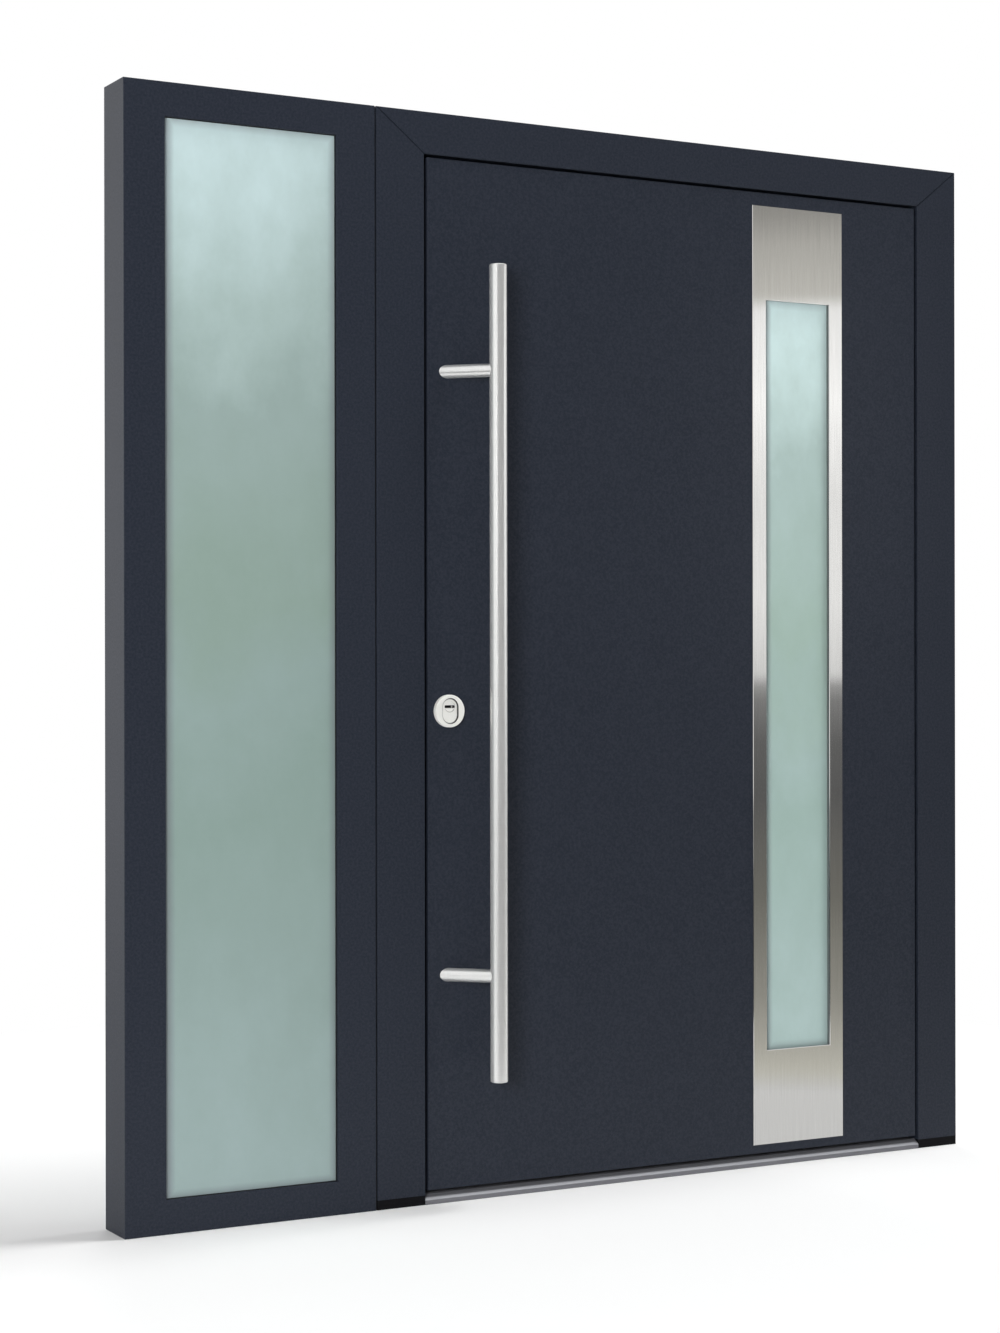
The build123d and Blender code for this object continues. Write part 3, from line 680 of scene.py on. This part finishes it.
def screw_tree(material):
    """A tree that puts a socket screw on every point and turns it to face the point's own way."""
    tree = bpy.data.node_groups.new("screws", "GeometryNodeTree")
    tree.interface.new_socket("Geometry", in_out="INPUT", socket_type="NodeSocketGeometry")
    for name in SCREW_SIZES:
        tree.interface.new_socket(name, in_out="INPUT", socket_type="NodeSocketFloat")
    tree.interface.new_socket("Geometry", in_out="OUTPUT", socket_type="NodeSocketGeometry")
    given = node(tree, "NodeGroupInput").outputs
    facing = node(tree, "GeometryNodeInputNamedAttribute", {"Name": "facing"}, data_type="FLOAT_VECTOR")
    way = {"Vector": facing.outputs["Attribute"]}
    turned = node(tree, "FunctionNodeAlignRotationToVector", way, axis="Z").outputs[0]
    points = {"Points": given["Geometry"], "Instance": one_screw(tree, given), "Rotation": turned}
    placed = node(tree, "GeometryNodeInstanceOnPoints", points).outputs[0]
    chance = node(tree, "FunctionNodeRandomValue", {2: 0.0, 3: math.tau, "Seed": SCREW_SEED}).outputs[1]
    spin = node(tree, "ShaderNodeCombineXYZ", {"Z": chance}).outputs[0]
    placed = node(tree, "GeometryNodeRotateInstances", {"Instances": placed, "Rotation": spin}).outputs[0]
    solid = node(tree, "GeometryNodeRealizeInstances", {"Geometry": placed}).outputs[0]
    solid = node(tree, "GeometryNodeSetMaterial", {"Geometry": solid, "Material": material}).outputs[0]
    wire(tree, node(tree, "NodeGroupOutput").inputs[0], solid)
    return tree


screws = screw_tree(lock_satin)
print("screw tree with", len(screws.nodes), "nodes")

# %% [markdown]
# The points come from the solids' own boxes. A hinge leg slopes from its knuckle to its tip, so the screws
# stand square to that slope. They sit a little below the surface, so that no two faces lie in one plane.

# %% Places of the screws
SINK = 0.0003
KNUCKLE_RADIUS = 0.0095
LEG_TIP = 0.006
LEG_SHARES = (0.36, 0.78)
LEG_RISES = (-0.038, 0.038)
HALF_HINGE = 0.060
HALF_STRIKE = 0.090
STRIKE_RISES = (-0.07, 0.07)
FACEPLATE_RISES = (-0.68, -0.40, -0.14, 0.14, 0.40, 0.68)


def heights(low, high, half):
    """The middles of three equal pieces, from the box of all three."""
    return (low.z + half, (low.z + high.z) / 2, high.z - half)


def leg_screws(halves, side):
    """Four screws on each hinge leg, to the left (-1) or right (1) of the pins."""
    low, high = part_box(halves)
    pins = middle_of("hinge_pins")
    start = Vector((pins.x + side * KNUCKLE_RADIUS, pins.y, 0))
    tip = Vector((high.x if side > 0 else low.x, low.y + LEG_TIP, 0))
    facing = (side * Vector((start.y - tip.y, tip.x - start.x, 0))).normalized()
    spots = [start.lerp(tip, share) - facing * SINK for share in LEG_SHARES]
    rises = [middle + rise for middle in heights(low, high, HALF_HINGE) for rise in LEG_RISES]
    return [(spot + Vector((0, 0, rise)), facing) for spot in spots for rise in rises]


def edge_screws(plate, side, rises):
    """Screws down the middle of a plate in the lock's edge, which faces left (-1) or right (1)."""
    low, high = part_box(plate)
    face = high.x if side > 0 else low.x
    facing = Vector((side, 0, 0))
    middle = (low.y + high.y) / 2
    return [(Vector((face, middle, rise)) - facing * SINK, facing) for rise in rises]


strike_middles = heights(*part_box("strike_plates"), HALF_STRIKE)
strike_rises = [middle + rise for middle in strike_middles for rise in STRIKE_RISES]
faceplate_rises = [strike_middles[1] + rise for rise in FACEPLATE_RISES]
screw_places = {
    "frame": leg_screws("frame_hinge_halves", 1) + edge_screws("strike_plates", 1, strike_rises),
    "leaf": leg_screws("leaf_hinge_halves", -1) + edge_screws("lock_faceplate", -1, faceplate_rises),
}
print("screws:", {body: len(places) for body, places in screw_places.items()})

# %% [markdown]
# Each body gets one carrier of points. The modifier's inputs are set by their identifiers before anything
# is evaluated, the evaluated result is kept as a plain mesh, and the modifier goes.


# %% Make the screws
def fastened(name, body, places):
    """Screws at (place, facing) pairs, as one plain mesh that rides on a body."""
    points = bpy.data.meshes.new(name + "_points")
    points.from_pydata([tuple(place) for place, _ in places], [], [])
    ways = points.attributes.new("facing", "FLOAT_VECTOR", "POINT")
    for way, (_, facing) in zip(ways.data, places):
        way.vector = facing
    piece = bpy.data.objects.new(name, points)
    scene.collection.objects.link(piece)
    modifier = piece.modifiers.new("screws", "NODES")
    modifier.node_group = screws
    for socket in screws.interface.items_tree:
        if socket.name in SCREW_SIZES:
            modifier[socket.identifier] = SCREW_SIZES[socket.name]
    evaluated = piece.evaluated_get(bpy.context.evaluated_depsgraph_get())
    mesh = bpy.data.meshes.new_from_object(evaluated)
    piece.modifiers.remove(modifier)
    piece.data = mesh
    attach(piece, body)
    print(name, len(mesh.polygons), "faces")


for body, places in screw_places.items():
    fastened(body + "_screws", body, places)

# %% [markdown]
# ## The studio
# The photograph has a white background and a soft shadow on the floor. The floor is a large pale disc. To
# the camera it also glows a little, which lifts its lit part to white and leaves the shadow, and far out it
# turns plain white, where its edge would show.

# %% Floor
FLOOR_RADIUS = 14.0
FLOOR_SIDES = 96
FLOOR_DROP = 0.0005
FLOOR_TONE = (0.84, 0.84, 0.84, 1)
FLOOR_LIFT = 0.08
FADE_START = 1.5
FADE_END = 2.6
WHITE = (1, 1, 1, 1)


def studio_floor():
    """A disc that keeps the shadow and fades to white."""
    bpy.ops.mesh.primitive_circle_add(
        vertices=FLOOR_SIDES, radius=FLOOR_RADIUS, fill_type="NGON", location=(0, 0, -FLOOR_DROP)
    )
    floor = bpy.context.object
    floor.name = "studio_floor"
    material, tree, shader = finish_of("floor_paint", Base_Color=FLOOR_TONE, Roughness=0.9)
    shader.inputs["Emission Color"].default_value = WHITE
    reach = vectors(tree, "LENGTH", here(tree))["Value"]
    far = spread(tree, reach, FADE_START, FADE_END, 0.0, 1.0)
    rays = node(tree, "ShaderNodeLightPath").outputs
    seen = maths(tree, "MAXIMUM", rays["Is Camera Ray"], rays["Is Transmission Ray"])
    wire(tree, shader.inputs["Emission Strength"], maths(tree, "MULTIPLY", seen, FLOOR_LIFT))
    white = node(tree, "ShaderNodeEmission", {"Color": WHITE, "Strength": 1.0}).outputs[0]
    share = maths(tree, "MULTIPLY", far, seen)
    mixed = node(tree, "ShaderNodeMixShader", {0: share, 1: shader.outputs[0], 2: white}).outputs[0]
    wire(tree, tree.nodes["Material Output"].inputs["Surface"], mixed)
    floor.data.materials.append(material)
    return floor


floor = studio_floor()
print("made", floor.name)

# %% [markdown]
# The world is white as well. The camera, mirrors and glass see it at full strength, and it lights the set
# more gently, so that the lamps still shape the door.

# %% World
AMBIENT = 0.23


def white_world():
    """White where it is seen, and dimmer where it gives light."""
    world = bpy.data.worlds.new("studio")
    world.use_nodes = True
    scene.world = world
    tree = world.node_tree
    background = tree.nodes["Background"]
    background.inputs["Color"].default_value = WHITE
    rays = node(tree, "ShaderNodeLightPath").outputs
    shown = maths(tree, "MAXIMUM", rays["Is Camera Ray"], rays["Is Glossy Ray"])
    shown = maths(tree, "MAXIMUM", shown, rays["Is Transmission Ray"])
    wire(tree, background.inputs["Strength"], spread(tree, shown, 0.0, 1.0, AMBIENT, 1.0))
    return world


world = white_world()
print("made the world", world.name)

# %% [markdown]
# ## Lamps
# Three large soft lamps light the set: one from the front left, which draws the pull bar's shadow on the
# leaf, one high up on the right, which lights the floor and leaves a soft shadow beside the set, and a low
# one behind it for the room side. They don't show in reflections, which are left to the white surround and
# the cards below.


# %% Lamps
def soft_lamp(name, at, aim, width, watts):
    """A square lamp that faces a point."""
    light = bpy.data.lights.new(name, "AREA")
    light.shape = "SQUARE"
    light.size = width
    light.energy = watts
    lamp = bpy.data.objects.new(name, light)
    lamp.location = at
    lamp.rotation_euler = (Vector(aim) - Vector(at)).to_track_quat("-Z", "Y").to_euler()
    lamp.visible_camera = False
    lamp.visible_glossy = False
    scene.collection.objects.link(lamp)
    return lamp


lamps = (
    soft_lamp("left_lamp", at=(-3.9, -3.9, 1.6), aim=(0, 0, 1.0), width=1.5, watts=190),
    soft_lamp("top_lamp", at=(2.4, -0.6, 6.2), aim=(0, 0, 0.2), width=2.0, watts=345),
    soft_lamp("back_lamp", at=(1.6, 5.0, 1.3), aim=(0, 0, 1.0), width=2.5, watts=200),
)
print("lamps:", [lamp.name for lamp in lamps])

# %% [markdown]
# ## Reflection cards
# Steel only looks like steel when it has something to mirror, so a few cards stand round the set that only
# show in reflections, as a photographer would put up paper and cloth. A card is one face that gives its own
# light, in tones that go by the height above the floor.

# %% Card makers
CARD_HEIGHT = 3.0
CLOTH_RISE = 0.002
BLACK = (0, 0, 0, 1)


def upright(aim, turn_deg, distance, width, top):
    """Corners of an upright card at a distance from a point, turned to the right of straight out."""
    turn = math.radians(turn_deg)
    foot = Vector(aim) + distance * Vector((math.sin(turn), -math.cos(turn), 0))
    along = Vector((math.cos(turn), math.sin(turn), 0)) * (width / 2)
    rise = Vector((0, 0, top))
    return [foot - along, foot + along, foot + along + rise, foot - along + rise]


def lying(left, right, near, far):
    """Corners of a cloth on the floor, between two distances in front of the set."""
    corners = ((left, far), (right, far), (right, near), (left, near))
    return [Vector((across, -out, CLOTH_RISE)) for across, out in corners]


def reflection_card(name, corners, tones):
    """A card that only shows in reflections; tones are (height, level, tint)."""
    mesh = bpy.data.meshes.new(name)
    mesh.from_pydata([tuple(corner) for corner in corners], [], [(0, 1, 2, 3)])
    card = bpy.data.objects.new(name, mesh)
    scene.collection.objects.link(card)
    material, tree, shader = finish_of(name + "_tone", Base_Color=BLACK, Roughness=1.0)
    shader.inputs["Emission Strength"].default_value = 1.0
    height = spread(tree, along_axis(tree, "Z"), 0.0, CARD_HEIGHT, 0.0, 1.0)
    stops = [(rise / CARD_HEIGHT, times(tint, level)) for rise, level, tint in tones]
    wire(tree, shader.inputs["Emission Color"], ramp(tree, height, stops))
    mesh.materials.append(material)
    card.visible_camera = False
    card.visible_diffuse = False
    card.visible_shadow = False
    card.visible_transmission = False


print("cards are toned up to", CARD_HEIGHT, "m")

# %% [markdown]
# A narrow tall card to the front right is what the plate mirrors: dim near the floor, dark up to chest
# height, then bright, and grey again at the top, which gives the plate its bands. The other cards have one
# grey each.

# %% Tones of the cards
FRONT_GREY = 0.04
CLOTH_GREY = 0.74
SIDE_WHITE = 1.5
NEUTRAL = (1.0, 1.0, 1.0)
WARM = (1.03, 1.01, 0.90)
SOFT_WARM = (1.03, 1.01, 0.95)
PLATE_BANDS = (
    (0.00, 0.74, NEUTRAL),
    (0.05, 0.62, WARM),
    (0.11, 0.51, WARM),
    (0.23, 0.34, WARM),
    (0.47, 0.19, WARM),
    (0.72, 0.125, NEUTRAL),
    (0.85, 0.15, NEUTRAL),
    (0.95, 0.26, NEUTRAL),
    (0.985, 0.40, NEUTRAL),
    (1.015, 0.86, NEUTRAL),
    (1.20, 1.08, NEUTRAL),
    (1.45, 1.06, NEUTRAL),
    (1.68, 1.32, NEUTRAL),
    (1.90, 1.14, NEUTRAL),
    (1.935, 0.66, SOFT_WARM),
    (2.06, 0.53, SOFT_WARM),
    (2.14, 0.35, SOFT_WARM),
)


def even(level):
    """One grey from the floor to the top of a card."""
    return ((0.0, level, NEUTRAL), (CARD_HEIGHT, level, NEUTRAL))


print("the plate's card has", len(PLATE_BANDS), "tones")

# %% [markdown]
# A wide dark card stands behind the camera, another to the right of it, and a dark cloth lies on the floor
# before them, so that the bar and the leaf mirror something calm. A paler cloth before the plate keeps the
# plate's foot from mirroring the white floor. The last card, behind the set on the left, brightens the
# narrow side face, which is seen at a slant.

# %% Place the cards
CLOTH_START = 1.3
CLOTH_END = 7.0
CLOTH_HALF = 6.0
PLATE_CLOTH_START = 0.2
PLATE_CLOTH_WIDTH = 1.3


def foot_of(name):
    """The point on the floor below the middle of a solid's outside face."""
    return (middle_of(name).x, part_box(name)[0].y, 0)


bar_foot = foot_of("pull_bar")
plate_foot = foot_of("inlay_plate")
side_foot = (cad_box[0][0], 0, 0)
plate_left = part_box("inlay_plate")[0].x
plate_right = plate_left + PLATE_CLOTH_WIDTH
card_corners = {
    "front_card": upright(bar_foot, turn_deg=0.0, distance=7.0, width=12.6, top=6.0),
    "right_card": upright(bar_foot, turn_deg=50.0, distance=6.0, width=4.85, top=5.0),
    "floor_cloth": lying(-CLOTH_HALF, CLOTH_HALF, CLOTH_START, CLOTH_END),
    "plate_cloth": lying(plate_left, plate_right, PLATE_CLOTH_START, CLOTH_START),
    "plate_card": upright(plate_foot, turn_deg=35.5, distance=0.9, width=0.5, top=CARD_HEIGHT),
    "side_card": upright(side_foot, turn_deg=200.0, distance=4.5, width=6.0, top=5.0),
}
card_tones = {
    "plate_cloth": even(CLOTH_GREY),
    "plate_card": PLATE_BANDS,
    "side_card": even(SIDE_WHITE),
}
for name, corners in card_corners.items():
    reflection_card(name, corners, card_tones.get(name, even(FRONT_GREY)))
print("cards:", list(card_corners))
